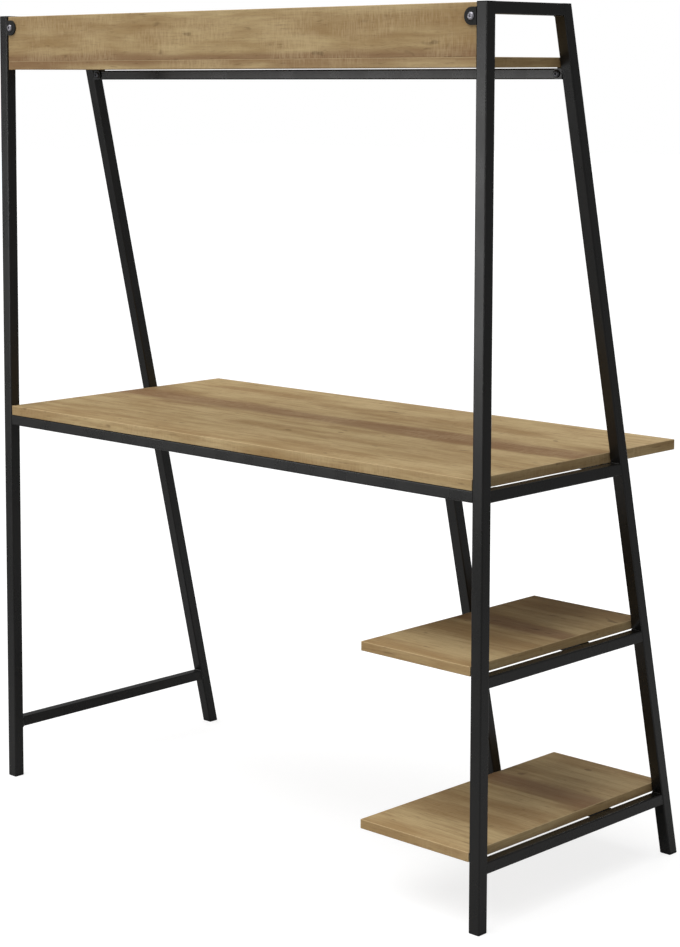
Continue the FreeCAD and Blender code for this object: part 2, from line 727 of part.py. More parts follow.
def wood_screw(name, length):
    """A pan head screw."""
    return headed_pin(name, "Size.screw_radius", length,
                      "Size.screw_head_radius", "Size.screw_head_height", "Size.screw_head_chamfer")


def threaded_block(name, draw_outline, depth):
    """A nut or insert below the plane z = 0; draw_outline adds its outline to a sketch."""
    body = new_body(name)
    sketch = new_sketch(body, "XY_Plane")
    draw_outline(sketch)
    add_circles(sketch, [("0", "0")], "(Size.bolt_radius + Size.thread_gap)")
    pad(body, sketch, depth, downward=True)
    return body


def pad_block():
    """A thin square pad below the plane z = 0."""
    body = new_body("pad_block")
    sketch = new_sketch(body, "XY_Plane")
    half = "Size.pad_length / 2"
    add_polygon(sketch, rectangle(f"-{half}", half, f"-{half}", half))
    pad(body, sketch, "Size.pad_thickness", downward=True)
    return body


def seat_group(label, master, seats, sunk="0"):
    """One sub-part of copies of a master, each sunk below a seat (x, y, z, axis, sign)."""
    members = []
    for x, y, z, axis, sign in seats:
        position = {"x": x, "y": y, "z": z}
        position[axis] = f"({position[axis]} - {sign} * ({sunk}))"
        copy = doc.addObject("App::Link", f"{label}_copy")
        copy.LinkedObject = master
        place(copy, **position, turn=HEAD_TOWARDS[axis, sign])
        members.append(copy)
    compound = doc.addObject("Part::Compound", label)
    compound.Label = label
    compound.Links = members
    doc.recompute()
    parts.append(compound)


def bracket_seats():
    """The seats of the brackets' bolts: two on each bracket."""
    seats = []
    rear_y = f"({REAR_BRACKET_Y} - Size.bracket_thickness)"
    front_y = f"({FRONT_BRACKET_Y} + Size.bracket_thickness)"
    for side, sign in SIDES:
        side_x = f"{sign} * ({RAIL_FACE_X} - Size.bracket_thickness)"
        bolt_x = f"{sign} * {BRACKET_BOLT_X}"
        seats.append((side_x, REAR_BOLT_Y, DESK_RAIL_Z, "x", -sign))
        seats.append((side_x, FRONT_BOLT_Y, DESK_RAIL_Z, "x", -sign))
        seats.append((bolt_x, rear_y, DESK_RAIL_Z, "y", -1))
        seats.append((bolt_x, front_y, DESK_RAIL_Z, "y", 1))
    return seats


def bolts():
    """Every bolt, with the nut or insert that it threads into."""
    bolt = button_bolt()
    nut = threaded_block("nut", lambda sketch: add_polygon(sketch, hexagon("Size.nut_size")),
                         "Size.nut_height")
    insert = threaded_block("insert",
                            lambda sketch: add_circles(sketch, [("0", "0")], "Size.insert_radius"),
                            "Size.insert_length")
    bolt_xs = [f"{sign} * {TAB_BOLT_X}" for side, sign in SIDES]
    board_seats = [(x, REAR_Y, BOARD_TAB_Z, "y", 1) for x in bolt_xs]
    rail_seats = [(x, TAB_BACK_Y, TOP_TUBE_Z, "y", 1) for x in bolt_xs]
    seat_group("board_screws", bolt, board_seats)
    seat_group("board_inserts", insert, board_seats, "Size.tab_thickness")
    seat_group("rail_bolts", bolt, rail_seats)
    seat_group("rail_nuts", nut, rail_seats, "Size.tab_thickness + Size.tube_wall")
    seat_group("bracket_bolts", bolt, bracket_seats())
    seat_group("bracket_nuts", nut, bracket_seats(), "Size.bracket_thickness + Size.tube_wall")


def wood_screws():
    """Every wood screw, driven up from below; those in the rails have their heads inside."""
    rail_screw = wood_screw("rail_screw", "Size.tube_wall + Size.screw_bite")
    plate_screw = wood_screw("plate_screw", "Size.plate_thickness + Size.screw_bite")
    back_length = "Size.shelf_thickness - Size.screw_head_height + Size.back_screw_bite"
    back_screw = wood_screw("back_screw", back_length)

    def from_below(places, z):
        """Seats that look down, at a height."""
        return [(x, y, z, "z", -1) for x, y in places]

    desk_places = [(x, y) for x in DESK_SCREW_XS for y in (POST_Y, FRONT_RAIL_Y)]
    seat_group("desktop_screws", rail_screw,
               from_below(desk_places, "(Size.desk_level - Size.tube_wall)"))
    for name, bar_y, level in (("mid", MID_BAR_Y, "Size.mid_level"), ("low", LOW_BAR_Y, "Size.low_level")):
        shelf_places = [(x, bar_y) for x in SHELF_SCREW_XS]
        seat_group(f"{name}_shelf_screws", rail_screw,
                   from_below(shelf_places, f"({level} - Size.tube_wall)"))
    back_places = [(x, BACK_SCREW_Y) for x in BACK_SCREW_XS]
    seat_group("back_board_screws", back_screw,
               from_below(back_places, f"({TOP_SHELF_Z} + Size.screw_head_height)"))
    plate_places = [(f"({INNER_LEG.x} + {x})", f"({PLATE_Y} + {y})") for x, y in PLATE_HOLES]
    seat_group("inner_leg_screws", plate_screw, from_below(plate_places, PLATE_Z))


def top_shelf_pads():
    """The pads between the top shelf and the ends of its rail."""
    x = f"({INNER_X} - Size.board_gap - Size.pad_length / 2)"
    seats = [(f"{sign} * {x}", TOP_TUBE_Y, TOP_SHELF_Z, "z", 1) for side, sign in SIDES]
    seat_group("top_shelf_pads", pad_block(), seats)


# ---------------------------------------------------------------------------
# The desk
# ---------------------------------------------------------------------------

def check_and_export():
    """Stop on a failed object or shape, then write each sub-part's file."""
    for item in doc.Objects:
        if "Invalid" in item.State or "Error" in item.State:
            raise RuntimeError(f"{item.Label} failed: {item.State}")
    for item in parts:
        if item.Shape.isNull() or not item.Shape.isValid():
            raise RuntimeError(f"{item.Label} has no valid shape")
    os.makedirs("parts", exist_ok=True)
    for item in parts:
        item.Shape.exportStep(f"parts/{item.Label}.step")


fill_sheet()
side_frames()
desk_rails()
crossbars()
top_shelf_rail()
tabs()
brackets()
inner_leg_plate()
boards()
feet_and_plugs()
bolts()
wood_screws()
top_shelf_pads()
doc.recompute()
check_and_export()
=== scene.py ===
"""Dresses the ladder desk: finishes, screws, weld beads, light studio and camera."""

from __future__ import annotations

import json
import logging
import math
from dataclasses import dataclass
from enum import Enum
from typing import Any, ClassVar

import bmesh
import bpy
from bpy.types import Material, Mesh, Modifier, Node, NodeSocket, NodeTree, Object
from mathutils import Euler, Matrix, Vector


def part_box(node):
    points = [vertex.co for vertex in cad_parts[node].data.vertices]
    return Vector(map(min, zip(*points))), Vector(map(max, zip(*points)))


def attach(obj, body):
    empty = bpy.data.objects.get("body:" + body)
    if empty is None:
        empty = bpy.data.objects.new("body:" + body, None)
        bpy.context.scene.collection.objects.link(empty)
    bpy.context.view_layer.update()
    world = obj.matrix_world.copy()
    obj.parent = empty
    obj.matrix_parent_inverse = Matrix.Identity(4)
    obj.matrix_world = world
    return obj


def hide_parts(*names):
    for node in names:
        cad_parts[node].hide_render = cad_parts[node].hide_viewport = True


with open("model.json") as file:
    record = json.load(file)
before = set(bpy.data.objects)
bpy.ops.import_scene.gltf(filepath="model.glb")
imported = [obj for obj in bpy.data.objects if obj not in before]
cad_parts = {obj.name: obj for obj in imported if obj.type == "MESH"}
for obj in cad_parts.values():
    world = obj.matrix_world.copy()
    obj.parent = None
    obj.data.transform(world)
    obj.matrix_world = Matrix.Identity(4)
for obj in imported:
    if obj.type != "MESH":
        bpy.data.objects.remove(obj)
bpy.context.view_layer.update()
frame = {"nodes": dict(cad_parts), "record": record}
MM = 0.001
SIXTH_TURN = math.pi / 3
LOG = logging.getLogger("ladder_desk")


class Slot(Enum):
    """The record's material slots."""

    BLACK_STEEL = "black_steel"
    OAK_BOARD = "oak_board"
    BLACK_PLASTIC = "black_plastic"
    BRIGHT_SCREWS = "bright_screws"
    BLACK_BOLTS = "black_bolts"
    ZINC_HARDWARE = "zinc_hardware"
    INSERT_BRASS = "insert_brass"
    PAD_RUBBER = "pad_rubber"


class Side(Enum):
    """The two welded side frames, by the sign of their X."""

    SHELF = -1
    OPEN = 1

    @property
    def prefix(self) -> str:
        """Start of the names of this side's nodes."""
        return "shelf_side" if self is Side.SHELF else "open_side"


def linear(code: str) -> tuple[float, float, float, float]:
    """Turns an sRGB hex colour into a linear one.

    Args:
        code: Six hex digits, with or without a hash.

    Returns:
        Linear red, green and blue, and an alpha of 1.
    """
    knee, slope, lift, whole, power = 0.04045, 12.92, 0.055, 1.055, 2.4
    digits = code.lstrip("#")
    parts = [int(digits[i:i + 2], 16) / 255 for i in (0, 2, 4)]
    red, green, blue = (
        part / slope if part <= knee else ((part + lift) / whole) ** power for part in parts
    )
    return (red, green, blue, 1.0)


def add_node(
    tree: NodeTree,
    kind: str,
    inputs: dict[str | int, Any] | None = None,
    **settings: Any,
) -> Node:
    """Adds a node with its settings and links.

    Args:
        tree: The tree it goes in.
        kind: Blender's name for the kind of node.
        inputs: Socket name or number, to a value or to the output that feeds it.
        **settings: Attributes of the node.

    Returns:
        The new node.
    """
    node = tree.nodes.new(kind)
    for name, value in settings.items():
        setattr(node, name, value)
    for key, value in (inputs or {}).items():
        if isinstance(value, NodeSocket):
            tree.links.new(value, node.inputs[key])
        else:
            node.inputs[key].default_value = value
    return node


@dataclass(frozen=True)
class Cloud:
    """A cloudy pattern whose features have a real size along X, Y and Z.

    The noise levels low and high give 0 and 1, detail counts the octaves of finer noise,
    share is how much of its tone shows where it is 1, and shift moves it, in features.
    """

    size_mm: tuple[float, float, float]
    low: float
    high: float
    detail: float
    share: float = 0.0
    shift: float = 0.0


@dataclass(frozen=True)
class Finish:
    """A surface finish, made as one material."""

    name: str
    colour: str
    roughness: float

    metallic: ClassVar[float] = 0.0
    specular: ClassVar[float] = 0.5
    rough_spread: ClassVar[tuple[float, float]] = (0.0, 0.0)
    relief_mm: ClassVar[float] = 0.0
    relief_share: ClassVar[float] = 0.0
    shift_ratios: ClassVar[tuple[float, float, float]] = (1.0, 1.7, 2.3)
    noise_roughness: ClassVar[float] = 0.55

    def material(self) -> Material:
        """Finds the finish's material, or makes it.

        Returns:
            The material.
        """
        found = bpy.data.materials.get(self.name)
        if found:
            return found
        material = bpy.data.materials.new(self.name)
        material.use_nodes = True
        material.diffuse_color = linear(self.colour)
        tree = material.node_tree
        tree.nodes.clear()
        shader = add_node(
            tree,
            "ShaderNodeBsdfPrincipled",
            {
                "Base Color": linear(self.colour),
                "Roughness": self.roughness,
                "Metallic": self.metallic,
                "Specular IOR Level": self.specular,
            },
        )
        add_node(tree, "ShaderNodeOutputMaterial", {"Surface": shader.outputs["BSDF"]})
        place = add_node(tree, "ShaderNodeTexCoord").outputs["Object"]
        self.paint(tree, shader, place)
        return material

    def pattern(
        self, tree: NodeTree, place: NodeSocket, cloud: Cloud, shift: float = 0.0
    ) -> NodeSocket:
        """Makes a cloudy pattern.

        Args:
            tree: The material's tree.
            place: Object coordinates.
            cloud: Its sizes and levels.
            shift: Moves it further, in features.

        Returns:
            The pattern, from 0 to 1.
        """
        scale = tuple(1 / (size * MM) for size in cloud.size_mm)
        moved = tuple((cloud.shift + shift) * ratio for ratio in self.shift_ratios)
        mapped = add_node(
            tree, "ShaderNodeMapping", {"Vector": place, "Scale": scale, "Location": moved}
        )
        noise = add_node(
            tree,
            "ShaderNodeTexNoise",
            {
                "Vector": mapped.outputs[0],
                "Scale": 1.0,
                "Detail": cloud.detail,
                "Roughness": self.noise_roughness,
            },
        )
        span = add_node(
            tree,
            "ShaderNodeMapRange",
            {"Value": noise.outputs["Fac"], "From Min": cloud.low, "From Max": cloud.high},
            interpolation_type="SMOOTHSTEP",
        )
        return span.outputs[0]

    def tinted(
        self,
        tree: NodeTree,
        base: NodeSocket | tuple[float, float, float, float],
        tone: str,
        amount: NodeSocket,
        share: float,
    ) -> NodeSocket:
        """Lays a tone over a colour where a pattern says so.

        Args:
            tree: The material's tree.
            base: The colour under it.
            tone: Hex colour of the tone.
            amount: The pattern, from 0 to 1.
            share: Share of the tone where the pattern is 1.

        Returns:
            The new colour.
        """
        factor = add_node(tree, "ShaderNodeMapRange", {"Value": amount, "To Max": share})
        mixed = add_node(
            tree,
            "ShaderNodeMix",
            {0: factor.outputs[0], 6: base, 7: linear(tone)},
            data_type="RGBA",
        )
        return mixed.outputs[2]

    def roughen(self, tree: NodeTree, shader: Node, amount: NodeSocket) -> None:
        """Lets a pattern vary the roughness, within the finish's spread.

        Args:
            tree: The material's tree.
            shader: The Principled shader.
            amount: The pattern, from 0 to 1.
        """
        low, high = (self.roughness + off for off in self.rough_spread)
        spread = add_node(
            tree, "ShaderNodeMapRange", {"Value": amount, "To Min": low, "To Max": high}
        )
        tree.links.new(spread.outputs[0], shader.inputs["Roughness"])

    def emboss(self, tree: NodeTree, shader: Node, height: NodeSocket) -> None:
        """Gives the surface the finish's fine relief.

        Args:
            tree: The material's tree.
            shader: The Principled shader.
            height: The pattern, from 0 to 1.
        """
        bump = add_node(
            tree,
            "ShaderNodeBump",
            {"Height": height, "Distance": self.relief_mm * MM, "Strength": self.relief_share},
        )
        tree.links.new(bump.outputs[0], shader.inputs["Normal"])

    def paint(self, tree: NodeTree, shader: Node, place: NodeSocket) -> None:
        """Adds the finish's own patterns; each kind of finish has its own.

        Args:
            tree: The material's tree.
            shader: The Principled shader.
            place: Object coordinates.
        """
        raise NotImplementedError


@dataclass(frozen=True)
class PowderCoat(Finish):
    """Polyester powder coat, sprayed on steel tube and baked.

    It flows out almost level, so the eye sees a soft satin black with a faint orange peel,
    a little thinner and shinier in patches, and grey dust that settles here and there.
    """

    dust: str

    specular: ClassVar[float] = 0.45
    rough_spread: ClassVar[tuple[float, float]] = (-0.02, 0.03)
    relief_mm: ClassVar[float] = 0.05
    relief_share: ClassVar[float] = 0.2
    # Real peel is about 1 mm across and would not show, so it is drawn a little coarser.
    peel: ClassVar[Cloud] = Cloud((1.4, 1.4, 1.4), 0.25, 0.75, 1.0)
    patches: ClassVar[Cloud] = Cloud((45, 45, 90), 0.35, 0.65, 3.0, share=0.12)
    specks: ClassVar[Cloud] = Cloud((7, 7, 7), 0.52, 0.8, 4.0, share=0.35, shift=3.0)

    def paint(self, tree: NodeTree, shader: Node, place: NodeSocket) -> None:
        """Adds orange peel, satin patches and dust.

        Args:
            tree: The material's tree.
            shader: The Principled shader.
            place: Object coordinates.
        """
        peel = self.pattern(tree, place, self.peel)
        patches = self.pattern(tree, place, self.patches)
        specks = self.pattern(tree, place, self.specks)
        colour = self.tinted(tree, linear(self.colour), self.dust, specks, self.specks.share)
        colour = self.tinted(tree, colour, self.dust, patches, self.patches.share)
        tree.links.new(colour, shader.inputs["Base Color"])
        self.roughen(tree, shader, patches)
        self.emboss(tree, shader, peel)


@dataclass(frozen=True)
class OakMelamine(Finish):
    """Oak-effect melamine paper, pressed on particle board with banded edges.

    A print of light oak: broad brown bands and fine streaks along the board, short dark
    pores, small knots and faint cross marks of a rough saw, under a matt resin whose pores
    are pressed in. The upper arrises get a fine pale line of painted highlight.
    """

    streak: str
    band: str
    pore: str
    arris: str
    centre: tuple[float, float, float]
    half: tuple[float, float, float]
    shift: float
    heart: float
    heart_half: float
    sawn: float

    specular: ClassVar[float] = 0.04
    rough_spread: ClassVar[tuple[float, float]] = (-0.04, 0.08)
    relief_mm: ClassVar[float] = -0.06
    relief_share: ClassVar[float] = 0.5
    wide: ClassVar[Cloud] = Cloud((420, 70, 70), 0.42, 0.66, 3.0, share=0.85)
    clouds: ClassVar[Cloud] = Cloud((130, 90, 45), 0.38, 0.68, 3.0, share=0.35)
    streaks: ClassVar[Cloud] = Cloud((230, 17, 17), 0.42, 0.72, 4.0, share=0.65)
    lines: ClassVar[Cloud] = Cloud((60, 3.2, 3.2), 0.35, 0.72, 4.0, share=0.25)
    # Real pores are 0.3 mm wide and would not show, so they are drawn about 1.6 mm wide.
    pores: ClassVar[Cloud] = Cloud((14, 1.6, 1.6), 0.56, 0.74, 1.0, share=0.2)
    flecks: ClassVar[Cloud] = Cloud((46, 5, 5), 0.63, 0.76, 2.0, share=0.42)
    knots: ClassVar[Cloud] = Cloud((40, 20, 20), 0.7, 0.78, 1.0, share=0.5)
    # The saw left marks 1 mm apart across the board; they are drawn 3 mm apart.
    saw_lines: ClassVar[Cloud] = Cloud((3, 18, 18), 0.3, 0.7, 2.0)
    saw_patches: ClassVar[Cloud] = Cloud((150, 60, 60), 0.4, 0.6, 3.0)
    end_facing: ClassVar[float] = 0.7
    sway_mm: ClassVar[float] = 15.0
    sways_per_metre: ClassVar[tuple[float, float, float]] = (2.4, 7.0, 7.0)
    heart_share: ClassVar[float] = 0.7
    heart_rims: ClassVar[tuple[float, float]] = (0.7, 1.4)
    heart_fade: ClassVar[tuple[float, float]] = (1.35, 0.3)
    # Painted highlight on the upper arrises: the distances over which it fades in, and its share.
    arris_fade_mm: ClassVar[tuple[float, float]] = (1.5, 0.8)
    arris_share: ClassVar[float] = 0.4

    def along_grain(self, tree: NodeTree, place: NodeSocket) -> NodeSocket:
        """Lays the grain along each face: by X, and on the two ends by Y.

        Args:
            tree: The material's tree.
            place: Object coordinates.

        Returns:
            Coordinates whose X runs along the grain.
        """
        normal = add_node(tree, "ShaderNodeNewGeometry").outputs["Normal"]
        facing = add_node(tree, "ShaderNodeSeparateXYZ", {0: normal}).outputs["X"]
        size = add_node(tree, "ShaderNodeMath", {0: facing}, operation="ABSOLUTE").outputs[0]
        is_end = add_node(
            tree, "ShaderNodeMath", {0: size, 1: self.end_facing}, operation="GREATER_THAN"
        )
        parts = add_node(tree, "ShaderNodeSeparateXYZ", {0: place})
        turned = add_node(
            tree,
            "ShaderNodeCombineXYZ",
            {"X": parts.outputs["Y"], "Y": parts.outputs["X"], "Z": parts.outputs["Z"]},
        )
        mixed = add_node(
            tree,
            "ShaderNodeMix",
            {0: is_end.outputs[0], 4: place, 5: turned.outputs[0]},
            data_type="VECTOR",
        )
        sway = add_node(
            tree,
            "ShaderNodeMapping",
            {"Vector": mixed.outputs[1], "Scale": self.sways_per_metre},
        )
        drift = add_node(
            tree, "ShaderNodeTexNoise", {"Vector": sway.outputs[0], "Scale": 1.0, "Detail": 2.0}
        )
        swayed = add_node(
            tree,
            "ShaderNodeVectorMath",
            {0: drift.outputs["Color"], 1: (0.0, self.sway_mm * MM, self.sway_mm * MM)},
            operation="MULTIPLY",
        )
        return add_node(
            tree, "ShaderNodeVectorMath", {0: mixed.outputs[1], 1: swayed.outputs[0]}
        ).outputs[0]

    def heart_band(self, tree: NodeTree, grain: NodeSocket, patches: NodeSocket) -> NodeSocket:
        """Finds the brown band from the heart of the log, with its uneven rims.

        A point is placed across the grain by the sum of its Y and Z, so that the band also
        runs along the faces that stand upright.

        Args:
            tree: The material's tree.
            grain: Coordinates along the grain.
            patches: The pattern that breaks the band up.

        Returns:
            1 in the middle of the band, 0 off it.
        """
        across = add_node(
            tree, "ShaderNodeVectorMath", {0: grain, 1: (0.0, 1.0, 1.0)}, operation="DOT_PRODUCT"
        ).outputs["Value"]
        off = add_node(
            tree, "ShaderNodeMath", {0: across, 1: self.heart}, operation="SUBTRACT"
        ).outputs[0]
        size = add_node(tree, "ShaderNodeMath", {0: off}, operation="ABSOLUTE").outputs[0]
        least, most = (self.heart_half * part for part in self.heart_rims)
        rim = add_node(
            tree, "ShaderNodeMapRange", {"Value": patches, "To Min": least, "To Max": most}
        ).outputs[0]
        share = add_node(tree, "ShaderNodeMath", {0: size, 1: rim}, operation="DIVIDE").outputs[0]
        outside, inside = self.heart_fade
        return add_node(
            tree,
            "ShaderNodeMapRange",
            {"Value": share, "From Min": outside, "From Max": inside},
            interpolation_type="SMOOTHSTEP",
        ).outputs[0]

    def edge_distance(self, tree: NodeTree, place: NodeSocket) -> NodeSocket:
        """Measures how far a point of the surface is from the nearest edge.

        The distances to the board's three pairs of faces are compared: on the surface the
        smallest is nothing, so the middle one is the distance to the nearest edge.

        Args:
            tree: The material's tree.
            place: Object coordinates.

        Returns:
            The distance, in metres.
        """
        moved = add_node(
            tree, "ShaderNodeVectorMath", {0: place, 1: self.centre}, operation="SUBTRACT"
        )
        off = add_node(
            tree, "ShaderNodeVectorMath", {0: moved.outputs[0]}, operation="ABSOLUTE"
        )
        inside = add_node(
            tree, "ShaderNodeVectorMath", {0: self.half, 1: off.outputs[0]}, operation="SUBTRACT"
        )
        x, y, z = add_node(tree, "ShaderNodeSeparateXYZ", {0: inside.outputs[0]}).outputs
        least = add_node(tree, "ShaderNodeMath", {0: x, 1: y}, operation="MINIMUM")
        most = add_node(tree, "ShaderNodeMath", {0: x, 1: y}, operation="MAXIMUM")
        capped = add_node(
            tree, "ShaderNodeMath", {0: most.outputs[0], 1: z}, operation="MINIMUM"
        )
        return add_node(
            tree,
            "ShaderNodeMath",
            {0: least.outputs[0], 1: capped.outputs[0]},
            operation="MAXIMUM",
        ).outputs[0]

    def upper_arris(self, tree: NodeTree, place: NodeSocket) -> NodeSocket:
        """Finds the trimmed upper arrises, which get a painted highlight as if they caught light.

        Args:
            tree: The material's tree.
            place: Object coordinates.

        Returns:
            1 along the board's upper edges.
        """
        far, full = (size * MM for size in self.arris_fade_mm)
        near = add_node(
            tree,
            "ShaderNodeMapRange",
            {"Value": self.edge_distance(tree, place), "From Min": far, "From Max": full},
        ).outputs[0]
        height = add_node(tree, "ShaderNodeSeparateXYZ", {0: place}).outputs["Z"]
        above = add_node(
            tree, "ShaderNodeMath", {0: height, 1: self.centre[2]}, operation="GREATER_THAN"
        ).outputs[0]
        return add_node(
            tree, "ShaderNodeMath", {0: near, 1: above}, operation="MULTIPLY"
        ).outputs[0]

    def paint(self, tree: NodeTree, shader: Node, place: NodeSocket) -> None:
        """Adds the printed oak, pores, saw marks and a painted highlight on the upper arrises.

        Args:
            tree: The material's tree.
            shader: The Principled shader.
            place: Object coordinates.
        """
        grain = self.along_grain(tree, place)
        wide = self.pattern(tree, grain, self.wide, self.shift)
        clouds = self.pattern(tree, place, self.clouds, self.shift)
        streaks = self.pattern(tree, grain, self.streaks, self.shift)
        lines = self.pattern(tree, grain, self.lines, self.shift)
        pores = self.pattern(tree, grain, self.pores, self.shift)
        flecks = self.pattern(tree, grain, self.flecks, self.shift)
        knots = self.pattern(tree, grain, self.knots, self.shift)
        saw_lines = self.pattern(tree, grain, self.saw_lines, self.shift)
        saw_patches = self.pattern(tree, grain, self.saw_patches, self.shift)
        saw = add_node(
            tree, "ShaderNodeMath", {0: saw_lines, 1: saw_patches}, operation="MULTIPLY"
        ).outputs[0]
        layers = [
            (self.streak, wide, self.wide.share),
            (self.streak, clouds, self.clouds.share),
            (self.streak, streaks, self.streaks.share),
            (self.band, self.heart_band(tree, grain, wide), self.heart_share),
            (self.band, lines, self.lines.share),
            (self.pore, pores, self.pores.share),
            (self.pore, flecks, self.flecks.share),
            (self.pore, knots, self.knots.share),
            (self.arris, saw, self.sawn),
            # Painted highlight: the upper arrises are lightened as if they caught the light.
            (self.arris, self.upper_arris(tree, place), self.arris_share),
        ]
        colour = linear(self.colour)
        for tone, amount, share in layers:
            colour = self.tinted(tree, colour, tone, amount, share)
        tree.links.new(colour, shader.inputs["Base Color"])
        self.roughen(tree, shader, lines)
        depth = add_node(
            tree, "ShaderNodeMath", {0: pores, 1: lines}, operation="MULTIPLY"
        ).outputs[0]
        self.emboss(tree, shader, depth)


@dataclass(frozen=True)
class MouldedPlastic(Finish):
    """Polyethylene, injection moulded in a spark-eroded tool.

    The tool's texture leaves it evenly matt, with small scuffs that shine a little.
    """

    scuff: str

    specular: ClassVar[float] = 0.3
    rough_spread: ClassVar[tuple[float, float]] = (0.0, -0.15)
    relief_mm: ClassVar[float] = 0.03
    relief_share: ClassVar[float] = 0.5
    texture: ClassVar[Cloud] = Cloud((0.6, 0.6, 0.6), 0.3, 0.7, 1.0)
    scuffs: ClassVar[Cloud] = Cloud((9, 2, 2), 0.58, 0.7, 3.0, share=0.5)

    def paint(self, tree: NodeTree, shader: Node, place: NodeSocket) -> None:
        """Adds the tool's texture and scuffs.

        Args:
            tree: The material's tree.
            shader: The Principled shader.
            place: Object coordinates.
        """
        texture = self.pattern(tree, place, self.texture)
        scuffs = self.pattern(tree, place, self.scuffs)
        colour = self.tinted(tree, linear(self.colour), self.scuff, scuffs, self.scuffs.share)
        tree.links.new(colour, shader.inputs["Base Color"])
        self.roughen(tree, shader, scuffs)
        self.emboss(tree, shader, texture)


@dataclass(frozen=True)
class PlatedMetal(Finish):
    """Steel that is headed and plated, or turned brass.

    A metal mirror softened by fine tool marks, with a dull film whose tone drifts over it.
    """

    film: str
    mark_mm: float

    metallic: ClassVar[float] = 1.0
    rough_spread: ClassVar[tuple[float, float]] = (-0.06, 0.08)
    relief_mm: ClassVar[float] = 0.01
    relief_share: ClassVar[float] = 0.4
    mark_stretch: ClassVar[float] = 8.0
    drift: ClassVar[Cloud] = Cloud((5, 5, 5), 0.35, 0.7, 2.0, share=0.5)

    @property
    def marks(self) -> Cloud:
        """Tool marks, which are longer along the tool's way."""
        size = (self.mark_mm, self.mark_mm * self.mark_stretch, self.mark_mm)
        return Cloud(size, low=0.3, high=0.7, detail=2.0)

    def paint(self, tree: NodeTree, shader: Node, place: NodeSocket) -> None:
        """Adds tool marks and the drifting tone.

        Args:
            tree: The material's tree.
            shader: The Principled shader.
            place: Object coordinates.
        """
        marks = self.pattern(tree, place, self.marks)
        drift = self.pattern(tree, place, self.drift)
        colour = self.tinted(tree, linear(self.colour), self.film, drift, self.drift.share)
        tree.links.new(colour, shader.inputs["Base Color"])
        self.roughen(tree, shader, marks)
        self.emboss(tree, shader, marks)


@dataclass(frozen=True)
class CutRubber(Finish):
    """EPDM sheet, cut into thin pads.

    Dull black with a pale bloom and a fine sheet grain.
    """

    bloom: str

    specular: ClassVar[float] = 0.25
    relief_mm: ClassVar[float] = 0.05
    relief_share: ClassVar[float] = 0.6
    sheet_grain: ClassVar[Cloud] = Cloud((0.8, 0.8, 0.8), 0.3, 0.7, 2.0)
    blooms: ClassVar[Cloud] = Cloud((6, 6, 6), 0.45, 0.75, 3.0, share=0.5)

    def paint(self, tree: NodeTree, shader: Node, place: NodeSocket) -> None:
        """Adds the sheet's grain and bloom.

        Args:
            tree: The material's tree.
            shader: The Principled shader.
            place: Object coordinates.
        """
        grain = self.pattern(tree, place, self.sheet_grain)
        blooms = self.pattern(tree, place, self.blooms)
        colour = self.tinted(tree, linear(self.colour), self.bloom, blooms, self.blooms.share)
        tree.links.new(colour, shader.inputs["Base Color"])
        self.emboss(tree, shader, grain)


BLACK_STEEL = PowderCoat("satin_black_powder_coat", "#131312", 0.28, dust="#211f1e")
# The tabs get a rougher coat and a slightly darker black than the tubes, so they look darker.
STAMPED_STEEL = PowderCoat("matt_black_stamped_tab_coat", "#121211", 0.65, dust="#211f1e")
BLACK_PLASTIC = MouldedPlastic("black_moulded_polyethylene", "#1a1a1a", 0.55, scuff="#303030")
BRIGHT_NICKEL = PlatedMetal("nickel_plated_steel", "#a9a7ae", 0.46, film="#87858c", mark_mm=0.5)
BLACK_ZINC = PlatedMetal("black_zinc_plated_steel", "#4b4b4e", 0.34, film="#39393b", mark_mm=0.5)
BRIGHT_ZINC = PlatedMetal("bright_zinc_plated_steel", "#b4b7ba", 0.34, film="#a3a08c", mark_mm=0.5)
TURNED_BRASS = PlatedMetal("turned_brass", "#b59a5b", 0.32, film="#8a6f3c", mark_mm=0.4)
PAD_RUBBER = CutRubber("black_epdm_sheet", "#222222", 0.8, bloom="#3a3a38")

FINISHES: dict[Slot, Finish] = {
    Slot.BLACK_STEEL: BLACK_STEEL,
    Slot.BLACK_PLASTIC: BLACK_PLASTIC,
    Slot.BRIGHT_SCREWS: BRIGHT_NICKEL,
    Slot.BLACK_BOLTS: BLACK_ZINC,
    Slot.ZINC_HARDWARE: BRIGHT_ZINC,
    Slot.INSERT_BRASS: TURNED_BRASS,
    Slot.PAD_RUBBER: PAD_RUBBER,
}


def dress(piece: Object, finish: Finish) -> None:
    """Puts a finish on every material slot of a piece.

    Args:
        piece: A CAD node or a new piece.
        finish: Its finish.
    """
    material = finish.material()
    if not piece.material_slots:
        piece.data.materials.append(material)
    for slot in piece.material_slots:
        slot.material = material


def new_object(name: str, mesh: Mesh) -> Object:
    """Links a mesh into the scene.

    Args:
        name: The object's name.
        mesh: Its mesh, already in place.

    Returns:
        The object, at the origin.
    """
    piece = bpy.data.objects.new(name, mesh)
    bpy.context.scene.collection.objects.link(piece)
    return piece


def settle(carrier: Object, name: str) -> Object:
    """Turns what a Geometry Nodes modifier makes into a plain piece.

    Args:
        carrier: The object with the modifier; it is removed.
        name: Name of the piece.

    Returns:
        The piece, with a plain mesh and no modifier.
    """
    graph = bpy.context.evaluated_depsgraph_get()
    mesh = bpy.data.meshes.new_from_object(carrier.evaluated_get(graph))
    bpy.data.objects.remove(carrier)
    mesh.name = name
    return new_object(name, mesh)


def set_inputs(modifier: Modifier, values: dict[str, Any]) -> None:
    """Sets a Geometry Nodes modifier's inputs by their sockets' identifiers.

    Args:
        modifier: The modifier, with its tree.
        values: Socket name to value.
    """
    for socket in modifier.node_group.interface.items_tree:
        if socket.in_out == "INPUT" and socket.name in values:
            modifier[socket.identifier] = values[socket.name]


